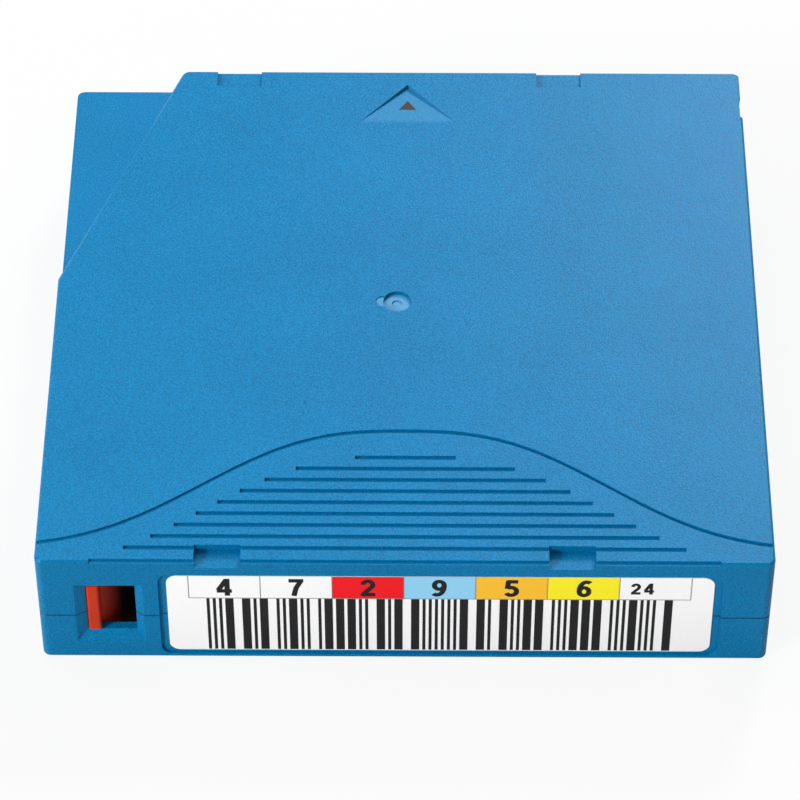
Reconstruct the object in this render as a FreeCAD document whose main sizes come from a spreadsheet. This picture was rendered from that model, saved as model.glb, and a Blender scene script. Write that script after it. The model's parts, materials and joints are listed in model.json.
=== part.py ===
import FreeCAD, Part
import math
import os
import re

import Sketcher
from FreeCAD import Placement, Rotation, Vector

# Single-reel cartridge for half-inch data tape.
# Frame: X across the case, Y towards the end that enters the drive, Z up, in millimetres.
# The origin is the centre of the case's bottom face. The reel turns about a line parallel to Z.

# Driving sizes, one cell of the sheet each.
SIZES = {
    # Case
    "case_width": 105.4,
    "case_length": 102.0,
    "case_height": 21.5,
    "parting_height": 9.5,
    "plate_thickness": 2.0,
    "wall_thickness": 1.5,
    "rear_wall": 2.0,
    "corner_radius": 1.2,
    "edge_bevel": 0.35,
    "seam_chamfer": 0.15,
    "seat_gap": 0.3,
    # Step at the front left corner, which stops the case from going in the wrong way round
    "notch_along_front": 17.2,
    "notch_along_side": 46.0,
    "notch_depth": 4.8,
    "notch_wall": 1.4,
    # Small set-backs of the right side near the front
    "side_step": 0.2,
    "side_step_length": 5.65,
    "side_notch": 0.4,
    "side_notch_length": 4.45,
    # Rests on the top face, two at the front edge and two at the rear edge
    "rest_spacing": 50.6,
    "front_rest_width": 7.0,
    "front_rest_length": 3.5,
    "front_rest_depth": 0.7,
    "rear_rest_width": 6.7,
    "rear_rest_length": 3.3,
    "rear_rest_depth": 1.3,
    # Ramped arrow on the top face
    "arrow_tip_inset": 3.1,
    "arrow_width": 15.6,
    "arrow_length": 8.9,
    "arrow_depth": 0.7,
    # Bell-shaped line and finger grooves on the top face
    "bell_foot_inset": 2.3,
    "bell_rise": 22.5,
    "bell_spread": 34.5,
    "bell_power": 2.78,
    "bell_line_width": 0.7,
    "bell_line_depth": 0.35,
    "grip_gap": 4.5,
    "grip_pitch": 2.16,
    "grip_first_inset": 20.0,
    "grip_width": 0.75,
    "grip_depth": 0.38,
    "rear_bevel": 0.6,
    # Moulding gate over the reel axis
    "gate_radius": 2.1,
    "gate_depth": 0.6,
    "gate_lobe_offset": 2.2,
    "gate_lobe_radius": 1.05,
    "gate_lobe_depth": 0.15,
    "gate_pip_radius": 0.8,
    "gate_pip_depth": 0.2,
    # Label and its recess in the rear face
    "label_length": 78.4,
    "label_height": 16.6,
    "label_thickness": 0.12,
    "label_corner": 1.6,
    "label_shift": 5.1,
    "label_border": 1.2,
    "label_level": 1.5,
    "recess_depth": 0.4,
    # Window and slider of the write protection, at the left of the rear face
    "window_left_inset": 6.9,
    "window_length": 7.1,
    "window_level": 5.6,
    "window_height": 10.2,
    "window_bevel": 0.8,
    "bevel_left": 1.6,
    "bevel_right": 1.2,
    "bevel_below": 2.1,
    "bevel_above": 0.45,
    "slider_thickness": 4.6,
    "slider_web": 0.8,
    "slider_height": 15.5,
    "slider_tab_width": 1.85,
    "slider_tab_reach": 1.9,
    "slider_tab_round": 0.4,
    "slider_gap": 0.1,
    "rail_thickness": 1.0,
    # Reel
    "reel_x": -1.4,
    "reel_y": 0.4,
    "reel_side_gap": 1.08,
    "reel_height": 1.3,
    "flange_thickness": 1.0,
    "flange_overhang": 0.7,
    "tape_side_gap": 0.125,
    "pack_gap": 0.05,
    "hub_radius": 22.0,
    "hub_wall": 3.5,
    "hub_floor": 1.7,
    "stud_gap": 0.1,
    "access_radius": 17.75,
    "seat_ring_width": 2.0,
    "seat_ring_inset": 0.85,
    "plate_radius": 13.3,
    "plate_bore": 4.0,
    "reel_plate_thickness": 1.0,
    # Teeth of the reel: a ring below for the drive's clutch, a ring inside for the brake
    "clutch_teeth": 36,
    "brake_teeth": 24,
    "clutch_inner": 14.1,
    "clutch_width": 2.8,
    "clutch_tooth": 1.3,
    "clutch_tooth_height": 1.0,
    "brake_inner": 11.6,
    "brake_width": 2.4,
    "brake_tooth": 1.0,
    "brake_tooth_tip": 0.6,
    "brake_tooth_height": 1.2,
    "tooth_clearance": 0.2,
    "ring_height": 2.0,
    "ring_margin": 0.2,
    # Release pad, whose three legs reach through the reel
    "leg_radius": 1.2,
    "leg_clearance": 0.3,
    "arm_width": 3.6,
    "arm_end_gap": 1.2,
    "arm_slot": 6.4,
    "pad_radius": 5.0,
    "pad_thickness": 1.6,
    # Brake button, its keyed post and its spring
    "button_thickness": 1.6,
    "button_hub_radius": 5.4,
    "button_hub_height": 3.5,
    "button_nose": 2.6,
    "key_width": 1.6,
    "key_span": 6.6,
    "key_clearance": 0.25,
    "brake_travel": 1.9,
    "brake_spring_radius": 7.2,
    "brake_wire": 0.45,
    "brake_spring_turns": 3.5,
    # Door in the right side, its channel, port and spring
    "door_length": 19.4,
    "door_thickness": 1.3,
    "door_front_inset": 3.6,
    "door_side_gap": 0.2,
    "door_edge_gap": 0.15,
    "door_groove": 0.7,
    "door_wall": 0.9,
    "door_travel": 17.5,
    "door_end_gap": 0.6,
    "port_lap_rear": 2.2,
    "port_lap_front": 1.4,
    "port_level": 3.2,
    "port_height": 15.1,
    "opener_height": 6.0,
    "lug_reach": 3.4,
    "lug_thickness": 1.2,
    "lug_height": 3.0,
    "lug_level": 3.5,
    "door_spring_radius": 1.0,
    "door_wire": 0.22,
    "door_spring_turns": 9,
    "spigot_radius": 0.6,
    "spigot_reach": 1.6,
    "spring_stop_y": -6.0,
    "spring_stop_height": 5.0,
    "cradle_height": 1.4,
    # Leader pin, its clip and its holding spring
    "pin_inset_x": 6.7,
    "pin_inset_y": 12.5,
    "pin_flange_radius": 2.1,
    "pin_flange_thickness": 1.0,
    "pin_collar_thickness": 0.4,
    "pin_neck_radius": 1.0,
    "pin_bar_radius": 1.1,
    "collar_gap": 0.08,
    "clip_gap": 0.1,
    "clip_wall": 0.7,
    "clip_opening": 70.0,
    "rim_thickness": 1.2,
    "rim_height": 1.5,
    "spring_sheet": 0.25,
    "arm_height": 1.0,
    "spring_base_length": 4.0,
    "spring_rib_thickness": 1.0,
    "spring_rib_length": 2.4,
    # Free end of the tape, from the pack to the pin
    "film_thickness": 0.15,
    "film_gap": 0.1,
    # Screws and their bosses
    "screw_radius": 1.0,
    "screw_length": 9.0,
    "screw_head_radius": 1.9,
    "screw_head_height": 1.3,
    "screw_clearance": 0.15,
    "thread_clearance": 0.03,
    "socket_radius": 0.95,
    "socket_depth": 0.7,
    "counterbore_gap": 0.3,
    "counterbore_depth": 3.0,
    "boss_radius": 3.0,
    "boss_inset": 6.5,
    "boss_to_pin": 8.0,
    "pilot_depth": 3.5,
    # Walls that follow the reel in the corners
    "guard_gap": 0.9,
    "guard_thickness": 1.0,
    # Locating hole and slot in the bottom
    "locating_radius": 2.5,
    "locating_depth": 3.5,
    "locating_wall": 1.7,
    "locating_cap": 1.5,
    "locating_hole_inset_x": 16.2,
    "locating_hole_inset_y": 8.5,
    "locating_slot_inset_x": 16.7,
    "locating_slot_inset_y": 7.5,
    "locating_slot_length": 3.0,
    # Memory board on its sloping seats
    "board_width": 6.2,
    "board_length": 10.0,
    "board_thickness": 0.8,
    "board_y": -29.5,
    "gusset_thickness": 1.0,
    "gusset_inset": 1.0,
    "chip_size": 2.4,
    "chip_thickness": 0.6,
    "chip_round": 0.2,
}

# Sizes and places that follow from the driving sizes, by name.
WORKED_OUT = {
    "right": "case_width / 2",
    "left": "-case_width / 2",
    "front": "case_length / 2",
    "rear": "-case_length / 2",
    "roof": "case_height - plate_thickness",
    "inner_right": "right - wall_thickness",
    "inner_left": "left + wall_thickness",
    "inner_front": "front - wall_thickness",
    "inner_rear": "rear + rear_wall",
    # Step
    "notch_x": "left + notch_along_front",
    "notch_y": "front - notch_along_side",
    "notch_level": "case_height - notch_depth",
    "notch_roof": "notch_level - plate_thickness",
    "notch_angle": "atan2(notch_along_side; notch_along_front)",
    "notch_inner_x": "notch_x + (notch_wall - cos(notch_angle) * wall_thickness) / sin(notch_angle)",
    "notch_inner_y": "front + (sin(notch_angle) * (inner_left - notch_x) - notch_wall) / cos(notch_angle)",
    # Arrow, bell line and grooves
    "arrow_tip": "front - arrow_tip_inset",
    "bell_foot": "rear + bell_foot_inset",
    # Label
    "label_left": "label_shift - label_length / 2",
    "label_right": "label_shift + label_length / 2",
    "recess_floor": "rear + recess_depth",
    # Window and slider
    "window_left": "left + window_left_inset",
    "window_right": "window_left + window_length",
    "window_top": "window_level + window_height",
    "slider_front": "inner_rear + seat_gap",
    "slider_back": "slider_front + slider_thickness",
    "slider_bottom": "plate_thickness + seat_gap",
    "slider_top": "slider_bottom + slider_height",
    "slider_left": "inner_left + seat_gap",
    "slider_right": "window_right + seat_gap",
    "slider_travel": "window_length - slider_tab_width - 2 * slider_gap",
    # Reel levels and radii: the reel fills the space between the walls and the door's spring
    "spring_room": "door_spring_x - door_spring_radius - door_wire - reel_x",
    "flange_radius": "min(inner_front - reel_y; spring_room) - reel_side_gap",
    "pack_radius": "flange_radius - flange_overhang",
    "tape_width": "roof - plate_thickness - 2 * (reel_height + flange_thickness + tape_side_gap)",
    "reel_bottom": "plate_thickness + reel_height",
    "flange_top": "reel_bottom + flange_thickness",
    "tape_bottom": "flange_top + tape_side_gap",
    "tape_top": "tape_bottom + tape_width",
    "upper_flange_bottom": "tape_top + tape_side_gap",
    "upper_flange_top": "upper_flange_bottom + flange_thickness",
    "hub_inner": "hub_radius - hub_wall",
    "hub_floor_top": "reel_bottom + hub_floor",
    "leg_circle": "hub_inner - arm_end_gap - arm_width / 2",
    "seat_ring_inner": "access_radius + seat_ring_inset",
    "half_pitch": "180 deg / brake_teeth",
    # Brake levels
    "ring_top": "hub_floor_top + ring_height",
    "button_tip": "ring_top + tooth_clearance",
    "button_bottom": "button_tip + brake_tooth_height",
    "button_top": "button_bottom + button_thickness",
    "button_hub_top": "button_top + button_hub_height",
    "button_radius": "brake_inner + brake_width + ring_margin",
    "key_bottom": "button_bottom + brake_travel + seat_gap + key_clearance",
    "pad_bottom": "hub_floor_top + seat_gap",
    "leg_bottom": "plate_thickness + 2 * seat_gap",
    # Door
    "channel_outer": "right - door_wall",
    "door_outer": "channel_outer - door_side_gap",
    "door_inner": "door_outer - door_thickness",
    "channel_inner": "door_inner - door_edge_gap",
    "door_front": "front - door_front_inset",
    "door_rear": "door_front - door_length",
    "door_bottom": "plate_thickness - door_groove + door_edge_gap",
    "door_top": "roof + door_groove - door_edge_gap",
    "channel_front": "door_front + door_end_gap",
    "channel_rear": "door_rear - door_travel - door_end_gap",
    "port_rear": "door_rear + port_lap_rear",
    "port_front": "door_front - port_lap_front",
    "port_top": "port_level + port_height",
    "lug_middle": "lug_level + lug_height / 2",
    "door_spring_x": "door_inner - lug_reach / 2",
    # Leader pin
    "pin_x": "right - pin_inset_x",
    "pin_y": "front - pin_inset_y",
    "pin_bottom": "plate_thickness + seat_gap",
    "pin_length": "roof - plate_thickness - 2 * seat_gap",
    "clip_inner": "pin_bar_radius + clip_gap",
    "clip_outer": "clip_inner + clip_wall",
    "collar_level": "tape_bottom - collar_gap - pin_collar_thickness - pin_bottom",
    "rim_inner": "pin_flange_radius + seat_gap",
    "spring_base_y": "inner_front - seat_gap - spring_sheet / 2",
    "spring_base_end": "pin_x + seat_gap",
    "spring_base_start": "spring_base_end - spring_base_length",
    "spring_touch": "(pin_flange_radius + seat_gap + spring_sheet) / sqrt(2)",
    # Free tape
    "film_start": "pack_radius + film_gap",
    "film_end": "clip_outer + film_gap",
    "pin_far_x": "pin_x - reel_x",
    "pin_far_y": "pin_y - reel_y",
    "pin_far": "hypot(pin_far_x; pin_far_y)",
    "film_angle": "atan2(pin_far_y; pin_far_x) + acos((film_start - film_end) / pin_far)",
    "film_length": "sqrt(pow(pin_far; 2) - pow(film_start - film_end; 2))",
    # Locating hole and slot
    "locating_hole_x": "right - locating_hole_inset_x",
    "locating_hole_y": "rear + locating_hole_inset_y",
    "locating_slot_x": "left + locating_slot_inset_x",
    "locating_slot_y": "front - locating_slot_inset_y",
    # Screws
    "boss_x": "right - boss_inset",
    "boss_y": "front - boss_inset",
    "rear_left_boss_y": "slider_back + seat_gap + rail_thickness / 2 + boss_radius",
    "front_right_boss_x": "pin_x - boss_to_pin",
    # Memory board: its middle lies at equal heights over the floor and the left wall
    "board_middle": "seat_gap + (board_thickness + board_width) / 2 / sqrt(2)",
    "gusset_leg": "2 * seat_gap + sqrt(2) * (board_width / 2 - seat_gap)",
}

# Places of the four screws, and the angles in degrees spanned by the curved guards in the corners
# and by the rim round each end of the leader pin.
SCREWS = {
    "rear_right": ("boss_x", "-boss_y"),
    "rear_left": ("-boss_x", "rear_left_boss_y"),
    "front_right": ("front_right_boss_x", "boss_y + boss_radius / 2"),
    "front_left": ("-boss_x", "boss_y"),
}
REAR_GUARDS = {"rear_left": (226, 250), "rear_right": (292, 334)}
FRONT_GUARDS = {"front_left": (116, 158)}
PIN_RIM = (100, 265)

# Sides of a coil spring's wire, and its straight steps per turn.
WIRE_SIDES = 5
BRAKE_COIL_STEPS = 14
DOOR_COIL_STEPS = 8

document = FreeCAD.newDocument("TapeCartridge")
sheet = document.addObject("Spreadsheet::Sheet", "Sizes")
for row, (alias, size) in enumerate(SIZES.items(), start=1):
    sheet.set(f"A{row}", alias)
    sheet.set(f"B{row}", str(size))
    sheet.setAlias(f"B{row}", alias)
document.recompute()


# Expressions -----------------------------------------------------------------------------------

def full(expression):
    """The expression with each name written as a cell of the sheet."""
    def swap(match):
        name = match.group()
        if name in WORKED_OUT:
            return f"({full(WORKED_OUT[name])})"
        return f"Sizes.{name}" if name in SIZES else name
    return re.sub(r"[a-z]\w*", swap, str(expression))


def value(expression):
    """The number that an expression comes to now."""
    return float(sheet.evalExpression(full(expression)))


# Sketches --------------------------------------------------------------------------------------

def new_body(label, x="0", y="0", z="0"):
    """A sub-part whose own origin stands at x, y, z."""
    made = document.addObject("PartDesign::Body", label)
    for axis, distance in zip("xyz", (x, y, z)):
        made.setExpression(f"Placement.Base.{axis}", full(distance))
    return made


def sketch(body, name, plane, level="0"):
    """A sketch on one of the body's own planes, moved by level along the plane's normal."""
    drawing = body.newObject("Sketcher::SketchObject", f"{body.Name}_{name}")
    support = next(item for item in body.Origin.OriginFeatures if item.Role == f"{plane}_Plane")
    drawing.AttachmentSupport = [(support, "")]
    drawing.MapMode = "FlatFace"
    drawing.setExpression("AttachmentOffset.Base.z", full(level))
    return drawing


def constrain(drawing, kind, *where, size, angle=False):
    """A dimension of the sketch, driven by an expression."""
    number = math.radians(value(size)) if angle else value(size)
    index = drawing.addConstraint(Sketcher.Constraint(kind, *where, number))
    drawing.setExpression(f"Constraints[{index}]", full(size))


def fix_point(drawing, geometry, corner, x, y):
    constrain(drawing, "DistanceX", -1, 1, geometry, corner, size=x)
    constrain(drawing, "DistanceY", -1, 1, geometry, corner, size=y)


def point_at(x, y):
    return Vector(value(x), value(y), 0)


def path(drawing, points, closed=False):
    """Straight runs from point to point."""
    places = [point_at(x, y) for x, y in points]
    runs = len(points) if closed else len(points) - 1
    lines = [
        drawing.addGeometry(Part.LineSegment(places[n], places[(n + 1) % len(places)]))
        for n in range(runs)
    ]
    for before, after in zip(lines, lines[1:]):
        drawing.addConstraint(Sketcher.Constraint("Coincident", before, 2, after, 1))
    if closed:
        drawing.addConstraint(Sketcher.Constraint("Coincident", lines[-1], 2, lines[0], 1))
    else:
        fix_point(drawing, lines[-1], 2, *points[-1])
    for line, (x, y) in zip(lines, points):
        fix_point(drawing, line, 1, x, y)


def polygon(drawing, points):
    path(drawing, points, closed=True)


def rectangle(drawing, x0, y0, x1, y1):
    polygon(drawing, [(x0, y0), (x1, y0), (x1, y1), (x0, y1)])


def circle(drawing, x, y, radius):
    made = drawing.addGeometry(Part.Circle(point_at(x, y), Vector(0, 0, 1), value(radius)))
    constrain(drawing, "Radius", made, size=radius)
    fix_point(drawing, made, 3, x, y)


def arc(drawing, x, y, radius, start, end):
    round_part = Part.Circle(point_at(x, y), Vector(0, 0, 1), value(radius))
    made = drawing.addGeometry(Part.ArcOfCircle(round_part, math.radians(start), math.radians(end)))
    constrain(drawing, "Radius", made, size=radius)
    return made


def rounded_rectangle(drawing, x0, y0, x1, y1, radius):
    """A rectangle whose corners are arcs."""
    centres = [(x0, y0, 1, 1), (x1, y0, -1, 1), (x1, y1, -1, -1), (x0, y1, 1, -1)]
    corners = []
    for turn, (x, y, side_x, side_y) in enumerate(centres):
        middle = (f"({x}) + {side_x} * ({radius})", f"({y}) + {side_y} * ({radius})")
        corner = arc(drawing, *middle, radius, 180 + 90 * turn, 270 + 90 * turn)
        fix_point(drawing, corner, 3, *middle)
        corners.append(corner)
    for turn, corner in enumerate(corners):
        after = corners[(turn + 1) % 4]
        ends = drawing.Geometry[corner].EndPoint, drawing.Geometry[after].StartPoint
        side = drawing.addGeometry(Part.LineSegment(*ends))
        drawing.addConstraint(Sketcher.Constraint("Tangent", corner, 2, side, 1))
        drawing.addConstraint(Sketcher.Constraint("Tangent", side, 2, after, 1))


def sector(drawing, x, y, inner, outer, start, end):
    """A piece of a ring between two angles."""
    arcs = [arc(drawing, x, y, radius, start, end) for radius in (inner, outer)]
    fix_point(drawing, arcs[0], 3, x, y)
    drawing.addConstraint(Sketcher.Constraint("Coincident", arcs[1], 3, arcs[0], 3))
    for corner, angle in ((1, start), (2, end)):
        ends = [getattr(drawing.Geometry[item], ("StartPoint", "EndPoint")[corner - 1]) for item in arcs]
        side = drawing.addGeometry(Part.LineSegment(*ends))
        for place, item in enumerate(arcs, start=1):
            drawing.addConstraint(Sketcher.Constraint("Coincident", side, place, item, corner))
        drawing.addConstraint(Sketcher.Constraint("PointOnObject", arcs[0], 3, side))
        constrain(drawing, "Angle", side, size=angle, angle=True)


# Features --------------------------------------------------------------------------------------

def volume(body):
    return 0.0 if body.Shape.isNull() else body.Shape.Volume


def feature(body, kind, drawing, sizes, **settings):
    """A feature made from a sketch. It has to change the solid that it is added to."""
    before = volume(body)
    made = body.newObject(f"PartDesign::{kind}", f"{drawing.Name}_{kind}")
    made.Profile = drawing
    for name, size in sizes.items():
        made.setExpression(name, full(size))
    for name, setting in settings.items():
        setattr(made, name, setting)
    document.recompute()
    if abs(volume(body) - before) < 1e-6:
        raise RuntimeError(f"{made.Name} changes nothing")
    return made


def pad(body, drawing, length, **settings):
    return feature(body, "Pad", drawing, {"Length": length}, **settings)


def pocket(body, drawing, length, **settings):
    return feature(body, "Pocket", drawing, {"Length": length}, **settings)


def revolve(body, name, points):
    """A solid of revolution about the body's Z axis, from points (radius, height)."""
    drawing = sketch(body, name, "XZ")
    polygon(drawing, points)
    axis = (drawing, ["V_Axis"])
    return feature(body, "Revolution", drawing, {}, Angle=360.0, ReferenceAxis=axis)


def around(body, original, count):
    """Copies of a feature, evenly spaced about the body's Z axis."""
    pattern = body.newObject("PartDesign::PolarPattern", f"{original.Name}_ring")
    axis = next(item for item in body.Origin.OriginFeatures if item.Role == "Z_Axis")
    pattern.Originals = [original]
    pattern.Axis = (axis, [""])
    pattern.Angle = 360.0
    pattern.setExpression("Occurrences", full(count))
    body.Tip = pattern
    document.recompute()
    return pattern


def dress(body, kind, name, wanted, size, sizes_name):
    """A fillet or chamfer of the edges for which wanted(edge) holds."""
    base = body.Tip
    edges = [f"Edge{n}" for n, edge in enumerate(base.Shape.Edges, start=1) if wanted(edge)]
    made = body.newObject(f"PartDesign::{kind}", f"{body.Name}_{name}")
    made.Base = (base, edges)
    made.setExpression(sizes_name, full(size))
    body.Tip = made
    document.recompute()
    return made


def fillet(body, name, wanted, radius):
    return dress(body, "Fillet", name, wanted, radius, "Radius")


def chamfer(body, name, wanted, size):
    return dress(body, "Chamfer", name, wanted, size, "Size")


def is_upright(edge):
    ends = [vertex.Point for vertex in edge.Vertexes]
    return len(ends) == 2 and math.hypot(ends[0].x - ends[1].x, ends[0].y - ends[1].y) < 1e-6


def lies_at(level):
    """A test for edges that lie wholly at one height."""
    height = value(level)
    return lambda edge: edge.BoundBox.ZLength < 1e-6 and abs(edge.BoundBox.ZMin - height) < 1e-6


# Case ------------------------------------------------------------------------------------------

def case_block(shell, bottom, top):
    """The outer block of one half of the case."""
    outline = sketch(shell, "outline", "XY", bottom)
    rectangle(outline, "left", "rear", "right", "front")
    pad(shell, outline, f"({top}) - ({bottom})")


def set_backs(shell, bottom, top):
    """The right side steps in a little near the front end."""
    steps = sketch(shell, "side_steps", "XY", bottom)
    step_rear = "front - side_step_length"
    notch_rear = f"{step_rear} - side_notch_length"
    polygon(steps, [
        ("right - side_notch", notch_rear),
        ("right + wall_thickness", notch_rear),
        ("right + wall_thickness", "front + wall_thickness"),
        ("right - side_step", "front + wall_thickness"),
        ("right - side_step", step_rear),
        ("right - side_notch", step_rear),
    ])
    pocket(shell, steps, f"({top}) - ({bottom})", Reversed=True)


def label_recess(shell):
    recess = sketch(shell, "label_recess", "XZ", "-rear")
    rounded_rectangle(
        recess,
        "label_left - label_border", "label_level - label_border / 2",
        "label_right + label_border", "label_level + label_height + label_border / 2",
        "label_corner",
    )
    pocket(shell, recess, "recess_depth")


def write_window(shell):
    """A bevelled window through the rear wall."""
    mouth = sketch(shell, "window_mouth", "XZ", "-rear")
    rectangle(
        mouth,
        "window_left - bevel_left", "window_level - bevel_below",
        "window_right + bevel_right", "window_top + bevel_above",
    )
    throat = sketch(shell, "window_throat", "XZ", "-rear - window_bevel")
    rectangle(throat, "window_left", "window_level", "window_right", "window_top")
    document.recompute()
    feature(shell, "SubtractiveLoft", mouth, {}, Sections=[throat], Ruled=True)
    hole = sketch(shell, "window_hole", "XZ", "-rear - window_bevel")
    rectangle(hole, "window_left", "window_level", "window_right", "window_top")
    pocket(shell, hole, "rear_wall")


def door_channel(shell, bottom, top, port_bottom, port_top):
    """The space that the door slides in, the port that it closes and the slot for its opener."""
    channel = sketch(shell, "door_channel", "XY", bottom)
    rectangle(channel, "channel_inner", "channel_rear", "channel_outer", "channel_front")
    pocket(shell, channel, f"({top}) - ({bottom})", Reversed=True)
    port = sketch(shell, "port", "YZ", "door_outer")
    rectangle(port, "port_rear", port_bottom, "port_front", port_top)
    pocket(shell, port, "wall_thickness", Reversed=True)
    slot = sketch(shell, "opener_slot", "XZ", "-channel_front + door_end_gap")
    middle = "case_height / 2"
    rectangle(
        slot,
        "channel_inner", f"max({middle} - opener_height / 2; {bottom})",
        "right + wall_thickness", f"min({middle} + opener_height / 2; {top})",
    )
    pocket(shell, slot, "door_front_inset + wall_thickness")


def pin_rim(shell, level, upwards):
    """A half round rim that the end flange of the leader pin stands in."""
    rim = sketch(shell, "pin_rim", "XY", level)
    sector(rim, "pin_x", "pin_y", "rim_inner", "rim_inner + rim_thickness", *PIN_RIM)
    pad(shell, rim, "rim_height", Reversed=not upwards)


def inner_ribs(shell, bottom, top):
    """The rail behind the slider and the rib that traps the pin's spring."""
    ribs = sketch(shell, "ribs", "XY", bottom)
    rail_y = "slider_back + seat_gap"
    rectangle(ribs, "slider_left", rail_y, "slider_right + slider_travel / 2", f"{rail_y} + rail_thickness")
    rib_front = "spring_base_y - spring_sheet / 2 - seat_gap"
    rib_x = "spring_base_start + spring_base_length / 2"
    rectangle(
        ribs,
        f"{rib_x} - spring_rib_length / 2", f"{rib_front} - spring_rib_thickness",
        f"{rib_x} + spring_rib_length / 2", rib_front,
    )
    pad(shell, ribs, f"({top}) - ({bottom})")


def guards(shell, spans, bottom, top):
    """Curved walls that follow the reel's flanges in the corners."""
    for name, (start, end) in spans.items():
        wall = sketch(shell, f"guard_{name}", "XY", bottom)
        inner = "flange_radius + guard_gap"
        sector(wall, "reel_x", "reel_y", inner, f"{inner} + guard_thickness", start, end)
        pad(shell, wall, f"({top}) - ({bottom})")


def make_lower_shell():
    shell = new_body("lower_shell")
    case_block(shell, "0", "parting_height")
    fillet(shell, "corners", is_upright, "corner_radius")
    chamfer(shell, "bottom_edges", lies_at("0"), "edge_bevel")
    chamfer(shell, "seam", lies_at("parting_height"), "seam_chamfer")
    set_backs(shell, "0", "parting_height")
    cavity = sketch(shell, "cavity", "XY", "parting_height")
    rectangle(cavity, "inner_left", "inner_rear", "inner_right", "inner_front")
    pocket(shell, cavity, "parting_height - plate_thickness")
    label_recess(shell)
    write_window(shell)
    floor_groove = "plate_thickness - door_groove"
    door_channel(shell, floor_groove, "parting_height", "port_level", "parting_height")
    pin_rim(shell, "plate_thickness", upwards=True)
    inner_ribs(shell, "plate_thickness", "parting_height")
    guards(shell, REAR_GUARDS | FRONT_GUARDS, "plate_thickness", "parting_height")
    lower_bosses(shell)
    locating_holes(shell)
    spring_seats(shell)
    board_seats(shell)
    access = sketch(shell, "hub_access", "XY")
    circle(access, "reel_x", "reel_y", "access_radius")
    pocket(shell, access, "plate_thickness", Reversed=True)


def lower_bosses(shell):
    bosses = sketch(shell, "bosses", "XY", "plate_thickness")
    holes = sketch(shell, "screw_holes", "XY")
    counterbores = sketch(shell, "counterbores", "XY")
    for x, y in SCREWS.values():
        circle(bosses, x, y, "boss_radius")
        circle(holes, x, y, "screw_radius + screw_clearance")
        circle(counterbores, x, y, "screw_head_radius + counterbore_gap")
    pad(shell, bosses, "parting_height - plate_thickness")
    pocket(shell, holes, "parting_height", Reversed=True)
    pocket(shell, counterbores, "counterbore_depth", Reversed=True)


def locating_holes(shell):
    """A blind round hole and a blind slot, each in a boss of its own. The slot's ends are round but
    for a hair, because a rounded rectangle's short sides need some length."""
    bosses = sketch(shell, "locating_bosses", "XY", "plate_thickness")
    holes = sketch(shell, "locating_holes", "XY")
    outer = "locating_radius + locating_wall"
    for drawing, radius in ((bosses, outer), (holes, "locating_radius")):
        circle(drawing, "locating_hole_x", "locating_hole_y", radius)
        slot_x = f"locating_slot_length / 2 + {radius}"
        rounded_rectangle(
            drawing,
            f"locating_slot_x - ({slot_x})", f"locating_slot_y - ({radius})",
            f"locating_slot_x + ({slot_x})", f"locating_slot_y + ({radius})",
            f"({radius}) * 0.999",
        )
    pad(shell, bosses, "locating_depth + locating_cap - plate_thickness")
    pocket(shell, holes, "locating_depth", Reversed=True)


def spring_seats(shell):
    """The stop, with its spigot, and the cradle that carry the door's spring."""
    seats = sketch(shell, "spring_stop", "XY", "plate_thickness")
    reach = "lug_reach / 2"
    rectangle(
        seats,
        f"door_spring_x - {reach}", "spring_stop_y - lug_thickness", "inner_right", "spring_stop_y",
    )
    pad(shell, seats, "spring_stop_height")
    spigot = sketch(shell, "stop_spigot", "XZ", "-spring_stop_y")
    circle(spigot, "door_spring_x", "lug_middle", "spigot_radius")
    pad(shell, spigot, "spigot_reach", Reversed=True)
    cradle = sketch(shell, "spring_cradle", "XY", "plate_thickness")
    cradle_rear = "spring_stop_y + 3 * lug_thickness"
    cradle_front = "channel_rear - 2 * lug_thickness"
    for y in (cradle_rear, cradle_front):
        rectangle(cradle, f"door_spring_x - {reach}", y, f"door_spring_x + {reach}", f"{y} + lug_thickness")
    pad(shell, cradle, "cradle_height")


def board_seats(shell):
    """Two gussets in the left corner of the floor, which the memory board leans on."""
    for name, side in (("rear", -1), ("front", 1)):
        middle = f"board_y + {side} * (board_length / 2 - gusset_inset - gusset_thickness / 2)"
        seat = sketch(shell, f"gusset_{name}", "XZ", f"-({middle})")
        polygon(seat, [
            ("inner_left", "plate_thickness"),
            ("inner_left + gusset_leg", "plate_thickness"),
            ("inner_left", "plate_thickness + gusset_leg"),
        ])
        pad(shell, seat, "gusset_thickness", Midplane=True)


def make_upper_shell():
    shell = new_body("upper_shell")
    case_block(shell, "parting_height", "case_height")
    notch = sketch(shell, "notch", "XY", "case_height")
    polygon(notch, [
        ("notch_x", "front"),
        ("notch_x", "front + notch_wall"),
        ("left - notch_wall", "front + notch_wall"),
        ("left - notch_wall", "notch_y"),
        ("left", "notch_y"),
    ])
    pocket(shell, notch, "notch_depth")
    fillet(shell, "corners", is_upright, "corner_radius")
    chamfer(shell, "top_edges", lies_at("case_height"), "edge_bevel")
    chamfer(shell, "seam", lies_at("parting_height"), "seam_chamfer")
    set_backs(shell, "parting_height", "case_height")
    upper_cavity(shell)
    label_recess(shell)
    write_window(shell)
    roof_groove = "roof + door_groove"
    door_channel(shell, "parting_height", roof_groove, "parting_height", "port_top")
    pin_rim(shell, "roof", upwards=False)
    inner_ribs(shell, "parting_height", "roof")
    guards(shell, REAR_GUARDS, "parting_height", "roof")
    upper_bosses(shell)
    brake_post(shell)
    top_rests(shell)
    gate_mark(shell)
    arrow(shell)
    grip_grooves(shell)
    bell_line(shell)


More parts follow.
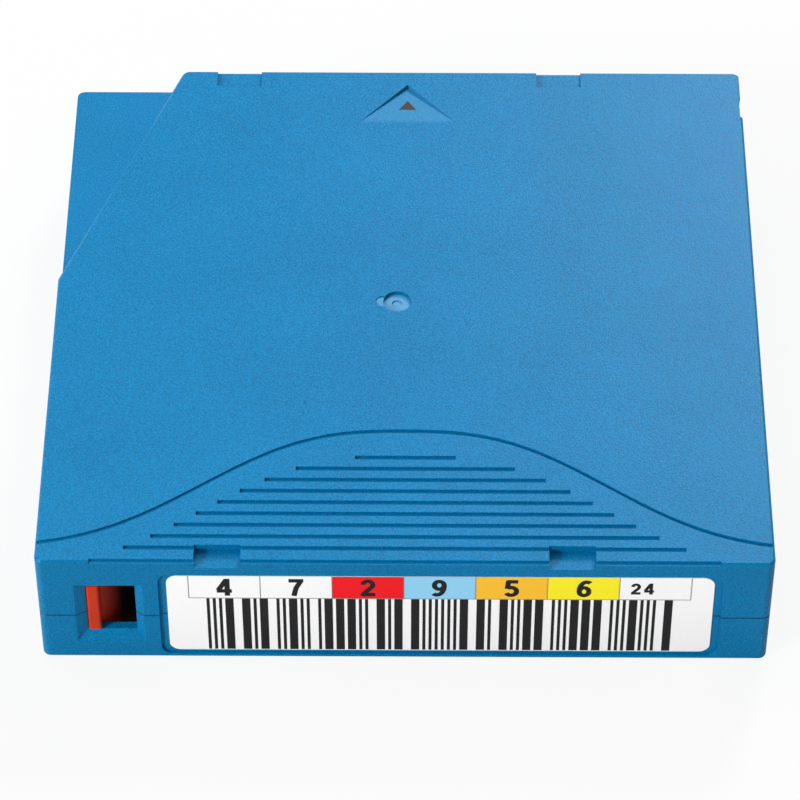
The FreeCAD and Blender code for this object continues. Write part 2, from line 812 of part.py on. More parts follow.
def upper_cavity(shell):
    """The space inside is lower under the step at the front left corner."""
    low = sketch(shell, "low_cavity", "XY", "parting_height")
    rectangle(low, "inner_left", "inner_rear", "inner_right", "inner_front")
    pocket(shell, low, "notch_roof - parting_height", Reversed=True)
    high = sketch(shell, "high_cavity", "XY", "notch_roof")
    polygon(high, [
        ("inner_left", "inner_rear"),
        ("inner_right", "inner_rear"),
        ("inner_right", "inner_front"),
        ("notch_inner_x", "inner_front"),
        ("inner_left", "notch_inner_y"),
    ])
    pocket(shell, high, "roof - notch_roof", Reversed=True)


def upper_bosses(shell):
    pilots = sketch(shell, "pilots", "XY", "parting_height")
    for name, (x, y) in SCREWS.items():
        boss = sketch(shell, f"boss_{name}", "XY", "parting_height")
        circle(boss, x, y, "boss_radius")
        ceiling = "notch_roof" if name == "front_left" else "roof"
        pad(shell, boss, f"{ceiling} - parting_height")
        circle(pilots, x, y, "screw_radius + thread_clearance")
    pocket(shell, pilots, "pilot_depth", Reversed=True)


def brake_post(shell):
    """A cross-shaped post that keeps the brake button from turning."""
    for name, half_x, half_y in (
        ("across", "key_span / 2", "key_width / 2"),
        ("along", "key_width / 2", "key_span / 2"),
    ):
        blade = sketch(shell, f"post_{name}", "XY", "key_bottom")
        rectangle(
            blade,
            f"reel_x - {half_x}", f"reel_y - {half_y}", f"reel_x + {half_x}", f"reel_y + {half_y}",
        )
        pad(shell, blade, "roof - key_bottom")


def top_rests(shell):
    """Shallow rests at both ends of the top, in pairs about the reel's axis."""
    for name, wall, side in (("front", "front", 1), ("rear", "rear", -1)):
        rests = sketch(shell, f"{name}_rests", "XY", "case_height")
        for hand in (-1, 1):
            middle = f"reel_x + {hand} * rest_spacing / 2"
            rectangle(
                rests,
                f"{middle} - {name}_rest_width / 2", f"{wall} - {side} * {name}_rest_length",
                f"{middle} + {name}_rest_width / 2", f"{wall} + {side} * wall_thickness",
            )
        pocket(shell, rests, f"{name}_rest_depth")


def gate_mark(shell):
    """The round sink over the reel axis where the plastic entered the mould."""
    lobe = sketch(shell, "gate_lobe", "XY", "case_height")
    circle(lobe, "reel_x - gate_lobe_offset", "reel_y", "gate_lobe_radius")
    pocket(shell, lobe, "gate_lobe_depth")
    sink = sketch(shell, "gate_sink", "XY", "case_height")
    circle(sink, "reel_x", "reel_y", "gate_radius")
    pocket(shell, sink, "gate_depth")
    pip = sketch(shell, "gate_pip", "XY", "case_height - gate_depth")
    circle(pip, "reel_x", "reel_y", "gate_pip_radius")
    pocket(shell, pip, "gate_pip_depth")


def arrow(shell):
    """A ramp that starts flush with the top and deepens towards the tip of an arrow."""
    base = sketch(shell, "arrow_base", "XY", "case_height")
    polygon(base, [
        ("-arrow_width / 2", "arrow_tip - arrow_length"),
        ("arrow_width / 2", "arrow_tip - arrow_length"),
        ("0", "arrow_tip"),
    ])
    tip = sketch(shell, "arrow_tip", "XY", "case_height - arrow_depth")
    tip.addGeometry(Part.Point(point_at("0", "arrow_tip")))
    fix_point(tip, 0, 1, "0", "arrow_tip")
    document.recompute()
    feature(shell, "SubtractiveLoft", base, {}, Sections=[(tip, ["Vertex1"])], Ruled=True)


def bell_height(x):
    """The bell line's Y at a distance x from the middle of the case."""
    steepness = -pow(abs(x) / value("bell_spread"), value("bell_power"))
    return value("bell_foot") + value("bell_rise") * math.exp(steepness)


def grip_grooves(shell):
    """Straight grooves between the bell line and the rear edge, as long as the bell leaves room."""
    grooves = sketch(shell, "grip_grooves", "XY", "case_height")
    room = value("grip_first_inset - grip_width / 2") - value("edge_bevel")
    count = 1 + int(room // value("grip_pitch"))
    for number in range(count):
        y = f"rear + grip_first_inset - {number} * grip_pitch"
        share = f"bell_rise / ({y} + grip_gap - bell_foot)"
        reach = f"bell_spread * pow(log({share}); 1 / bell_power)"
        rectangle(grooves, f"-{reach}", f"{y} - grip_width / 2", reach, f"{y} + grip_width / 2")
    pocket(shell, grooves, "grip_depth")
    bevel = sketch(shell, "rear_bevel", "XY", "case_height")
    bevel_share = "bell_rise / (grip_gap - bell_foot_inset + rear_bevel)"
    bevel_reach = f"bell_spread * pow(log({bevel_share}); 1 / bell_power)"
    rectangle(bevel, f"-{bevel_reach}", "rear - wall_thickness", bevel_reach, "rear + rear_bevel")
    pocket(shell, bevel, "grip_depth")


def bell_line(shell):
    """A fine groove that follows the bell curve from side to side, as a chain of short arcs."""
    line = sketch(shell, "bell_line", "XY", "case_height")
    reach = value("right") + value("wall_thickness")
    arcs = 16
    spacing = reach / arcs
    ends = []
    for offset in (0, value("bell_line_width")):
        places = [-reach + step * spacing for step in range(2 * arcs + 1)]
        points = [Vector(x, bell_height(x) + offset, 0) for x in places]
        for start in range(0, 2 * arcs, 2):
            line.addGeometry(Part.Arc(*points[start:start + 3]))
        ends.append((points[0], points[-1]))
    for near, far in zip(*ends):
        line.addGeometry(Part.LineSegment(near, far))
    document.recompute()
    pocket(shell, line, "bell_line_depth")


def make_screws():
    """Four self-tapping screws, driven in from below."""
    screws = []
    for name, (x, y) in SCREWS.items():
        shank = document.addObject("Part::Cylinder", f"shank_{name}")
        shank.setExpression("Radius", full("screw_radius"))
        shank.setExpression("Height", full("screw_length"))
        head = document.addObject("Part::Cylinder", f"head_{name}")
        head.setExpression("Radius", full("screw_head_radius"))
        head.setExpression("Height", full("screw_head_height"))
        head.setExpression("Placement.Base.z", full("-screw_head_height"))
        whole = document.addObject("Part::Fuse", f"blank_{name}")
        whole.Base = shank
        whole.Tool = head
        socket = document.addObject("Part::Prism", f"socket_{name}")
        socket.Polygon = 6
        socket.setExpression("Circumradius", full("socket_radius"))
        socket.setExpression("Height", full("socket_depth"))
        socket.setExpression("Placement.Base.z", full("-screw_head_height"))
        screw = document.addObject("Part::Cut", f"screw_{name}")
        screw.Base = whole
        screw.Tool = socket
        screw.setExpression("Placement.Base.x", full(x))
        screw.setExpression("Placement.Base.y", full(y))
        screw.setExpression("Placement.Base.z", full("counterbore_depth"))
        screws.append(screw)
    group = document.addObject("Part::Compound", "shell_screws")
    group.Links = screws


def make_label():
    label = new_body("cartridge_label", y="recess_floor")
    face = sketch(label, "face", "XZ")
    rounded_rectangle(
        face,
        "label_left", "label_level", "label_right", "label_level + label_height", "label_corner",
    )
    pad(label, face, "label_thickness")


def make_slider():
    """A block behind the window, hollowed beside the tab that a fingernail pushes."""
    slider = new_body("write_protect_slider")
    block = sketch(slider, "block", "XZ", "-slider_back")
    rectangle(block, "slider_left", "slider_bottom", "slider_right", "slider_top")
    pad(slider, block, "slider_thickness")
    tab = sketch(slider, "tab", "XZ", "-slider_front")
    tab_left = "window_left + slider_gap"
    rectangle(
        tab,
        tab_left, "window_level + seat_gap",
        f"{tab_left} + slider_tab_width", "window_top - seat_gap",
    )
    pad(slider, tab, "slider_tab_reach")
    tab_right = f"{tab_left} + slider_tab_width"
    hollow = sketch(slider, "hollow", "XY", "window_top + seat_gap")
    polygon(hollow, [
        (tab_right, "slider_front"),
        (tab_right, "slider_front - seat_gap"),
        ("slider_right + seat_gap", "slider_front - seat_gap"),
        ("slider_right + seat_gap", "slider_back - slider_web"),
    ])
    pocket(slider, hollow, "window_height + 2 * seat_gap")
    tab_front = value("slider_front - slider_tab_reach")

    def is_tab_edge(edge):
        box = edge.BoundBox
        return box.ZLength > box.XLength and abs(box.YMax - tab_front) < 1e-3

    fillet(slider, "tab_edges", is_tab_edge, "slider_tab_round")


# Reel ------------------------------------------------------------------------------------------

def reel_body(label, turned=False):
    """A sub-part on the reel's axis, turned by half a tooth where it carries teeth."""
    made = new_body(label, "reel_x", "reel_y")
    if turned:
        made.setExpression("Placement.Rotation.Angle", full("half_pitch"))
    return made


def face_teeth(body, name, count, inner, width, root, crown, base, height, upwards):
    """A ring of teeth on a flat face, each as wide at its root and crown as stated."""
    direction = "" if upwards else "-"
    tooth = sketch(body, name, "YZ", inner)
    tip = f"({base}) + {direction}({height})"
    polygon(tooth, [
        (f"-({root}) / 2", base),
        (f"({root}) / 2", base),
        (f"({crown}) / 2", tip),
        (f"-({crown}) / 2", tip),
    ])
    return around(body, pad(body, tooth, width), count)


def make_reel_hub():
    """Hub, lower flange and clutch teeth, moulded as one."""
    hub = reel_body("reel_hub", turned=True)
    stud = "plate_bore - stud_gap"
    ring_outer = "seat_ring_inner + seat_ring_width"
    ring_bottom = "plate_thickness + seat_gap"
    revolve(hub, "profile", [
        ("0", "reel_bottom - reel_plate_thickness + seat_gap"),
        (stud, "reel_bottom - reel_plate_thickness + seat_gap"),
        (stud, "reel_bottom"),
        ("seat_ring_inner", "reel_bottom"),
        ("seat_ring_inner", ring_bottom),
        (ring_outer, ring_bottom),
        (ring_outer, "reel_bottom"),
        ("flange_radius", "reel_bottom"),
        ("flange_radius", "flange_top"),
        ("hub_radius", "flange_top"),
        ("hub_radius", "upper_flange_bottom"),
        ("hub_inner", "upper_flange_bottom"),
        ("hub_inner", "hub_floor_top"),
        ("0", "hub_floor_top"),
    ])
    face_teeth(
        hub, "clutch", "clutch_teeth", "clutch_inner", "clutch_width", "clutch_tooth", "clutch_tooth / 2",
        "reel_bottom", "clutch_tooth_height", upwards=False,
    )
    ring = sketch(hub, "brake_ring", "XY", "hub_floor_top")
    circle(ring, "0", "0", "brake_inner - ring_margin")
    circle(ring, "0", "0", "button_radius")
    pad(hub, ring, "ring_height")
    face_teeth(
        hub, "brake_ring_teeth", "brake_teeth", "brake_inner", "brake_width",
        "brake_tooth", "brake_tooth_tip", "ring_top", "brake_tooth_height", upwards=True,
    )
    slot = sketch(hub, "arm_slot", "XY", "button_bottom")
    rectangle(slot, "pad_radius", "-arm_slot / 2", "leg_circle + arm_width / 2", "arm_slot / 2")
    around(hub, pocket(hub, slot, "button_bottom - hub_floor_top"), "3")
    hole = sketch(hub, "leg_hole", "XY", "hub_floor_top")
    circle(hole, "leg_circle", "0", "leg_radius + leg_clearance")
    around(hub, pocket(hub, hole, "hub_floor + clutch_tooth_height"), "3")


def make_upper_flange():
    """The upper flange, welded on the hub's rim."""
    flange = reel_body("upper_flange")
    revolve(flange, "profile", [
        ("hub_inner", "upper_flange_bottom"),
        ("flange_radius", "upper_flange_bottom"),
        ("flange_radius", "upper_flange_top"),
        ("hub_inner", "upper_flange_top"),
    ])


def make_reel_plate():
    """The steel plate that the drive's magnet holds."""
    plate = reel_body("reel_plate")
    bottom = "reel_bottom - reel_plate_thickness"
    revolve(plate, "profile", [
        ("plate_bore", bottom),
        ("plate_radius", bottom),
        ("plate_radius", "reel_bottom"),
        ("plate_bore", "reel_bottom"),
    ])


def make_tape_pack():
    pack = reel_body("tape_pack")
    inner = "hub_radius + pack_gap"
    revolve(pack, "profile", [
        (inner, "tape_bottom"),
        ("pack_radius", "tape_bottom"),
        ("pack_radius", "tape_top"),
        (inner, "tape_top"),
    ])


# Brake -----------------------------------------------------------------------------------------

def make_brake_button():
    """A toothed button that holds the reel, with a cross-shaped socket for the post."""
    button = reel_body("brake_button")
    revolve(button, "profile", [
        ("0", "button_tip"),
        ("button_nose", "button_tip"),
        ("button_nose", "button_bottom"),
        ("button_radius", "button_bottom"),
        ("button_radius", "button_top"),
        ("button_hub_radius", "button_top"),
        ("button_hub_radius", "button_hub_top"),
        ("0", "button_hub_top"),
    ])
    face_teeth(
        button, "teeth", "brake_teeth", "brake_inner", "brake_width", "brake_tooth", "brake_tooth_tip",
        "button_bottom", "brake_tooth_height", upwards=False,
    )
    long_half = "(key_span / 2 + key_clearance)"
    short_half = "(key_width / 2 + key_clearance)"
    for name, half_x, half_y in (("across", long_half, short_half), ("along", short_half, long_half)):
        socket = sketch(button, f"socket_{name}", "XY", "button_hub_top")
        rectangle(socket, f"-{half_x}", f"-{half_y}", half_x, half_y)
        pocket(button, socket, "button_hub_top - button_bottom")


def coil(label, radius, wire, length, turns, steps):
    """A coil spring about Z, standing on the XY plane: a wire with flat sides in straight steps."""
    radius, wire, length, turns = (value(size) for size in (radius, wire, length, turns))
    count = round(turns * steps)
    sections = []
    for step in range(count + 1):
        around_z = Rotation(Vector(0, 0, 1), 360 * step / steps)
        middle = Vector(radius, 0, wire + (length - 2 * wire) * step / count)
        corners = [
            Rotation(Vector(0, 1, 0), 360 / WIRE_SIDES * side).multVec(Vector(wire, 0, 0))
            for side in range(WIRE_SIDES + 1)
        ]
        sections.append(Part.makePolygon([around_z.multVec(middle + corner) for corner in corners]))
    spring = document.addObject("Part::Feature", label)
    spring.Shape = Part.makeLoft(sections, True, True)
    return spring


def make_brake_spring():
    length = "roof - button_top - 2 * seat_gap"
    spring = coil(
        "brake_spring", "brake_spring_radius", "brake_wire", length, "brake_spring_turns", BRAKE_COIL_STEPS,
    )
    spring.Placement = Placement(point_at("reel_x", "reel_y"), Rotation())
    spring.setExpression("Placement.Base.z", full("button_top + seat_gap"))


def make_release_pad():
    """A three-armed pad under the button, with a leg at the end of each arm."""
    release = reel_body("release_pad", turned=True)
    middle = sketch(release, "middle", "XY", "pad_bottom")
    circle(middle, "0", "0", "pad_radius")
    pad(release, middle, "pad_thickness")
    arm = sketch(release, "arm", "XY", "pad_bottom")
    rectangle(arm, "0", "-arm_width / 2", "leg_circle + arm_width / 2", "arm_width / 2")
    around(release, pad(release, arm, "pad_thickness"), "3")
    leg = sketch(release, "leg", "XY", "leg_bottom")
    circle(leg, "leg_circle", "0", "leg_radius")
    around(release, pad(release, leg, "pad_bottom - leg_bottom"), "3")


# Door and leader -------------------------------------------------------------------------------

def make_door():
    """A plate in the side channel, with a lug at its rear end for the spring."""
    door = new_body("door")
    plate = sketch(door, "plate", "XY", "door_bottom")
    rectangle(plate, "door_inner", "door_rear", "door_outer", "door_front")
    pad(door, plate, "door_top - door_bottom")
    outer = value("door_outer")
    front = value("door_front")

    def is_leading_edge(edge):
        box = edge.BoundBox
        return is_upright(edge) and abs(box.XMin - outer) < 1e-3 and abs(box.YMin - front) < 1e-3

    chamfer(door, "leading_edge", is_leading_edge, "door_thickness / 2")
    lug = sketch(door, "lug", "XY", "lug_level")
    rectangle(lug, "door_inner - lug_reach", "door_rear", "door_inner", "door_rear + lug_thickness")
    pad(door, lug, "lug_height")
    spigot = sketch(door, "lug_spigot", "XZ", "-door_rear")
    circle(spigot, "door_spring_x", "lug_middle", "spigot_radius")
    pad(door, spigot, "spigot_reach")


def make_door_spring():
    """A compression spring that lies along the side wall and pushes the door shut."""
    length = "door_rear - spring_stop_y - 2 * seat_gap"
    spring = coil(
        "door_spring", "door_spring_radius", "door_wire", length, "door_spring_turns", DOOR_COIL_STEPS,
    )
    along_y = Rotation(Vector(1, 0, 0), -90)
    spring.Placement = Placement(point_at("door_spring_x", "spring_stop_y + seat_gap"), along_y)
    spring.setExpression("Placement.Base.z", full("lug_middle"))


def make_leader_pin():
    """A steel pin with a flange and a collar at each end."""
    pin = new_body("leader_pin", "pin_x", "pin_y", "pin_bottom")
    lower_half = [
        ("0", "0"),
        ("pin_flange_radius", "0"),
        ("pin_flange_radius", "pin_flange_thickness"),
        ("pin_neck_radius", "pin_flange_thickness"),
        ("pin_neck_radius", "collar_level"),
        ("pin_flange_radius", "collar_level"),
        ("pin_flange_radius", "collar_level + pin_collar_thickness"),
        ("pin_bar_radius", "collar_level + pin_collar_thickness"),
    ]
    upper_half = [(radius, f"pin_length - ({height})") for radius, height in reversed(lower_half)]
    revolve(pin, "profile", lower_half + upper_half)


def make_pin_clip():
    """The clip that holds the tape's end on the pin, open towards the port."""
    clip = new_body("pin_clip", "pin_x", "pin_y", "tape_bottom")
    section = sketch(clip, "section", "XY")
    half_opening = value("clip_opening") / 2
    sector(section, "0", "0", "clip_inner", "clip_outer", half_opening, 360 - half_opening)
    pad(clip, section, "tape_width")


def make_pin_spring():
    """A sheet spring held at the front wall, with an arm that presses on each end of the pin."""
    spring = new_body("pin_spring")
    back, face = "spring_base_y - spring_sheet / 2", "spring_base_y + spring_sheet / 2"
    web = sketch(spring, "web", "XY", "pin_bottom")
    rectangle(web, "spring_base_start", back, "spring_base_end", face)
    pad(spring, web, "pin_length")
    bends = [
        ("spring_base_start", "spring_base_y"),
        ("spring_base_end", "spring_base_y"),
        ("pin_x + pin_flange_radius + 2 * seat_gap", "(spring_base_y + pin_y + pin_flange_radius) / 2"),
        ("pin_x + spring_touch", "pin_y + spring_touch"),
        ("door_inner - 2 * seat_gap - spring_sheet", "pin_y + seat_gap"),
    ]
    for name, level in (("lower", "pin_bottom"), ("upper", "pin_bottom + pin_length - arm_height")):
        route = sketch(spring, f"{name}_route", "XY", f"{level} + arm_height / 2")
        path(route, bends)
        section = sketch(spring, f"{name}_section", "YZ", "spring_base_start")
        rectangle(section, back, level, face, f"{level} + arm_height")
        document.recompute()
        feature(spring, "AdditivePipe", section, {}, Spine=(route, []), Transition="Right corner")


def make_tape_leader():
    """The tape between the pack and the pin, drawn straight."""
    leader = new_body(
        "tape_leader",
        "reel_x + film_start * cos(film_angle)", "reel_y + film_start * sin(film_angle)", "tape_bottom",
    )
    leader.Placement = Placement(Vector(0, 0, 0), Rotation(Vector(0, 0, 1), -1))
    leader.setExpression("Placement.Rotation.Angle", full("film_angle - 90 deg"))
    film = sketch(leader, "film", "XY")
    rectangle(film, "0", "0", "film_length", "film_thickness")
    pad(leader, film, "tape_width")


# Memory ----------------------------------------------------------------------------------------

def sloping_body(label, lift="0"):
    """A sub-part on the memory board's slope, lifted off the board's middle plane."""
    offset = f"board_middle + ({lift}) / sqrt(2)"
    made = new_body(label, f"inner_left + {offset}", "board_y", f"plate_thickness + {offset}")
    made.Placement = Placement(made.Placement.Base, Rotation(Vector(0, 1, 0), 45))
    return made


def make_memory_board():
    board = sloping_body("memory_board")
    outline = sketch(board, "outline", "XY")
    rectangle(outline, "-board_width / 2", "-board_length / 2", "board_width / 2", "board_length / 2")
    pad(board, outline, "board_thickness", Midplane=True)


def make_memory_chip():
    chip = sloping_body("memory_chip", "board_thickness / 2")
    outline = sketch(chip, "outline", "XY")
    rectangle(outline, "-chip_size / 2", "-chip_size / 2", "chip_size / 2", "chip_size / 2")
    pad(chip, outline, "chip_thickness")
    fillet(chip, "top", lies_at("chip_thickness"), "chip_round")


# Document --------------------------------------------------------------------------------------

def sub_parts():
    """Each body, each spring and the group of screws."""
    kinds = {"PartDesign::Body", "Part::Feature", "Part::Compound"}
    return [item for item in document.Objects if item.TypeId in kinds]


def check():
    """Every object has to be sound before anything is written."""
    for item in document.Objects:
        if {"Invalid", "Error"} & set(item.State):
            raise RuntimeError(f"{item.Label} failed: {item.State}")
    for part in sub_parts():
        if part.Shape.isNull() or not part.Shape.isValid():
            raise RuntimeError(f"{part.Label} has no sound shape")


def main():
    make_lower_shell()
    make_upper_shell()
    make_screws()
    make_label()
    make_slider()
    make_reel_hub()
    make_upper_flange()
    make_reel_plate()
    make_tape_pack()
    make_brake_button()
    make_brake_spring()
    make_release_pad()
    make_door()
    make_door_spring()
    make_leader_pin()
    make_pin_clip()
    make_pin_spring()
    make_tape_leader()
    make_memory_board()
    make_memory_chip()
    document.recompute()
    check()
    os.makedirs("parts", exist_ok=True)
    for part in sub_parts():
        part.Shape.exportStep(f"parts/{part.Label}.step")


main()
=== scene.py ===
import json
import math
import random

import bmesh
import bpy
from mathutils import Matrix, Vector


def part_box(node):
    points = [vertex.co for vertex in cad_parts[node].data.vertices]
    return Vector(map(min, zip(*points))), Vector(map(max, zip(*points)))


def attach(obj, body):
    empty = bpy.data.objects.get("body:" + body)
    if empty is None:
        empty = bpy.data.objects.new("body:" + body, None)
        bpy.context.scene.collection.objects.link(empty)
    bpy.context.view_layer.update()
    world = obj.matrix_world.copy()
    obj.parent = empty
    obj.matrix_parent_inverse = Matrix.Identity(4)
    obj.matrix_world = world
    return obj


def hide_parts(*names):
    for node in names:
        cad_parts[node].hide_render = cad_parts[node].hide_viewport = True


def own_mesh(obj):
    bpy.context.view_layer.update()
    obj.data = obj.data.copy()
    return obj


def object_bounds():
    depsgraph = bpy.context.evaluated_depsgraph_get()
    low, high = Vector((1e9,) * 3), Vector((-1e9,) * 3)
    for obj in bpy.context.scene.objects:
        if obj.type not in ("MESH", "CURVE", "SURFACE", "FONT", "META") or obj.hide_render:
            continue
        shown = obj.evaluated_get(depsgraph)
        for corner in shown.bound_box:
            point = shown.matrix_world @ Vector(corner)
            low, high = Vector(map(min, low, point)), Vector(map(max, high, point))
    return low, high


# Looks of the data tape cartridge. Metres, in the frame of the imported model:
# X across the case, Y towards the end that enters the drive, Z up.

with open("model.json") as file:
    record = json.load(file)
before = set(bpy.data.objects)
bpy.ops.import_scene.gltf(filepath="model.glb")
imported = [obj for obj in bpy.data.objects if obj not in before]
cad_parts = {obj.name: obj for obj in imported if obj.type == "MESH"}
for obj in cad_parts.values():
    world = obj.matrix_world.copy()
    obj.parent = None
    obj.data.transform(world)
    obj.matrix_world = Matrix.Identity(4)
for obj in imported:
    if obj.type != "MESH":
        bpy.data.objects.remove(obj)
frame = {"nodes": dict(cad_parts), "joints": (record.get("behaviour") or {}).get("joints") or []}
cad_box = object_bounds()

MM = 0.001

# Colours, linear
BLUE = (0.001, 0.164, 0.364)
BLUE_PALE = (0.080, 0.290, 0.510)
# Painted shadow in the seam between the case's two halves
SEAM_SHADOW_BLUE = (0.001, 0.040, 0.110)
LABEL_WHITE = (0.950, 0.945, 0.945)
CELL_INKS = {
    "red": (0.860, 0.006, 0.012),
    "sky": (0.280, 0.620, 0.870),
    "orange": (0.940, 0.520, 0.030),
    "yellow": (0.960, 0.830, 0.018),
}
INK_BLACK = (0.012, 0.012, 0.013)
INK_GREY = (0.160, 0.160, 0.170)
ARROW_BROWN = (0.030, 0.022, 0.020)
SLIDER_RED = (0.520, 0.036, 0.012)
# Painted shade for the slider's hollow, dark where shadow falls in it
SLIDER_PAINTED_SHADE = (0.010, 0.003, 0.004)
REEL_WHITE = (0.620, 0.620, 0.600)
BRAKE_WHITE = (0.600, 0.570, 0.480)
TAPE_BROWN = (0.030, 0.020, 0.015)
STEEL = (0.560, 0.560, 0.570)
BOARD_GREEN = (0.020, 0.150, 0.050)
CHIP_BLACK = (0.015, 0.015, 0.016)
FLOOR_WHITE = (0.650, 0.650, 0.650)

# Finishes: specular levels, the broad clouds in a moulded colour, and the range that noise stays in
PLASTIC_GLOSS = 0.09
FILM_GLOSS = 0.15
CLOUD_SIZE = 18.0
CLOUD_SHARE = 0.12
NOISE_LOW = 0.3
NOISE_HIGH = 0.7

# Places on the case with a tint of their own, and the seam's painted shadow, in millimetres. A pair is
# where the tint or shadow is full and where it has gone. Depths go down from the top, and ends go back
# from the front edge.
GATE_RADII = (1.8, 2.1)
LOBE_RADII = (0.85, 1.05)
LOBE_OFFSET = 2.2
LOBE_SHARE = 0.8
GATE_DEPTHS = (0.12, 0.05)
SHADE_DEPTHS = (1.2, 1.4)
RAMP_HALF_WIDTHS = (7.8, 7.9)
RAMP_ENDS = (11.0, 12.0)
RAMP_DEPTHS = (0.04, 0.01)
RAMP_SHARE = 0.3
# The seam's painted shadow, standing for the dark gap between the two halves
SEAM_SHADOW_HALF_WIDTHS = (0.08, 0.17)
SEAM_SHADOW_SHARE = 0.85

# The arrow's ramp: its foot behind the front edge, its length and its fall, in millimetres
RAMP_FOOT = 12.0
RAMP_LENGTH = 8.9
RAMP_FALL = 0.7

# The triangle printed on the ramp: half its width, and its foot and tip behind the front edge
PRINT_HALF_WIDTH = 1.38
PRINT_FOOT = 8.6
PRINT_TIP = 6.4

# Painted shade in the slider's hollow, in millimetres behind its face and from its right end: where
# the painted shade is full, and where it has gone
HOLLOW_SHADE_DEPTHS = (1.95, 1.8)
HOLLOW_SHADE_SIDES = (2.6, 5.6)

# Label print, in millimetres from the label's lower left corner. Shares are of a cell's width for the
# small digits' place, and of a digit's height for a stroke's width.
CELL_FIRST = 3.15
CELL_PITCH = 10.28
CELL_HEIGHT = 4.85
CELL_COLOURS = [None, None, "red", "sky", "orange", "yellow", None]
DIGITS = "472956"
SMALL_DIGITS = "24"
SMALL_DIGITS_SHARE = 0.32
DIGIT_HEIGHT = 3.75
SMALL_DIGIT_HEIGHT = 2.45
STROKE_SHARE = 0.20
STROKE_LIFT = 0.004
RULE_WIDTH = 0.12
RULE_LIFT = 0.002
BARS_FIRST = 5.65
BARS_LENGTH = 66.95
BARS_LOW = 0.15
BARS_HIGH = 11.65
INK_THICKNESS = 0.015

# The field of bars: signs of five bars and four spaces, of which two bars and one space are wide
BAR_SEED = 11
BAR_SIGNS = 10
SIGN_BARS = 5
SIGN_WIDE_BARS = 2
WIDE_TO_NARROW = 2.7

# Strokes of the digits, in shares of their height: lines through points, and arcs as centre, radii,
# start and end in degrees, and the point that an arc runs on to, if there is one
GLYPH_WIDTH = 0.58
ARC_STEPS = 24
GLYPHS = {
    "2": [
        ("arc", 0.29, 0.68, 0.185, 0.220, 178, -32, (0.12, 0.14)),
        ("line", (0.02, 0.10), (0.57, 0.10)),
    ],
    "4": [
        ("line", (0.40, 0.0), (0.40, 1.0)),
        ("line", (0.365, 0.93), (0.06, 0.33)),
        ("line", (0.0, 0.28), (0.57, 0.28)),
    ],
    "5": [
        ("line", (0.53, 0.90), (0.11, 0.90)),
        ("line", (0.165, 0.95), (0.12, 0.48)),
        ("arc", 0.27, 0.33, 0.205, 0.230, 132, -152),
    ],
    "6": [
        ("arc", 0.31, 0.33, 0.185, 0.230, 0, 360),
        ("arc", 0.40, 0.38, 0.275, 0.520, 186, 60),
    ],
    "7": [
        ("line", (0.01, 0.90), (0.57, 0.90)),
        ("line", (0.48, 0.90), (0.29, 0.48), (0.20, 0.0)),
    ],
    "9": [
        ("arc", 0.27, 0.67, 0.185, 0.230, 0, 360),
        ("arc", 0.18, 0.62, 0.275, 0.520, 6, -120),
    ],
}

# Coil springs: the wire's radius in millimetres, all turns, the closed turns at each end, and the
# pitch of those in radii of the wire
BRAKE_WIRE = 0.45
BRAKE_TURNS = 4.5
DOOR_WIRE = 0.22
DOOR_TURNS = 24
CLOSED_TURNS = 0.9
CLOSED_PITCH = 2.05

# Floor in metres, the share of glow that the camera sees on it, and the world's light on the object
FLOOR_HALF = 3.0
FLOOR_DROP = 0.0001
FLOOR_GLOW = 0.88
WORLD_LIGHT = 0.35

# Square lamps: place and side in metres, and power in watts
LAMPS = {
    "key": ((-0.30, 0.40, 0.85), 0.50, 2.6),
    "sheen": ((0.30, 0.88, 0.74), 0.30, 10.0),
    "left": ((-0.90, -0.70, 0.60), 0.30, 14.0),
}

# Camera: degrees and metres round the middle of the case, aimed a little in front of it
CAMERA_AZIMUTH = 0.2
CAMERA_ELEVATION = 47.0
CAMERA_DISTANCE = 0.611
CAMERA_AIM = Vector((-0.0009, -0.0099, 0.0))
CAMERA_LENS = 180.4
CAMERA_NEAR = 0.01


# Shaders ---------------------------------------------------------------------------------------

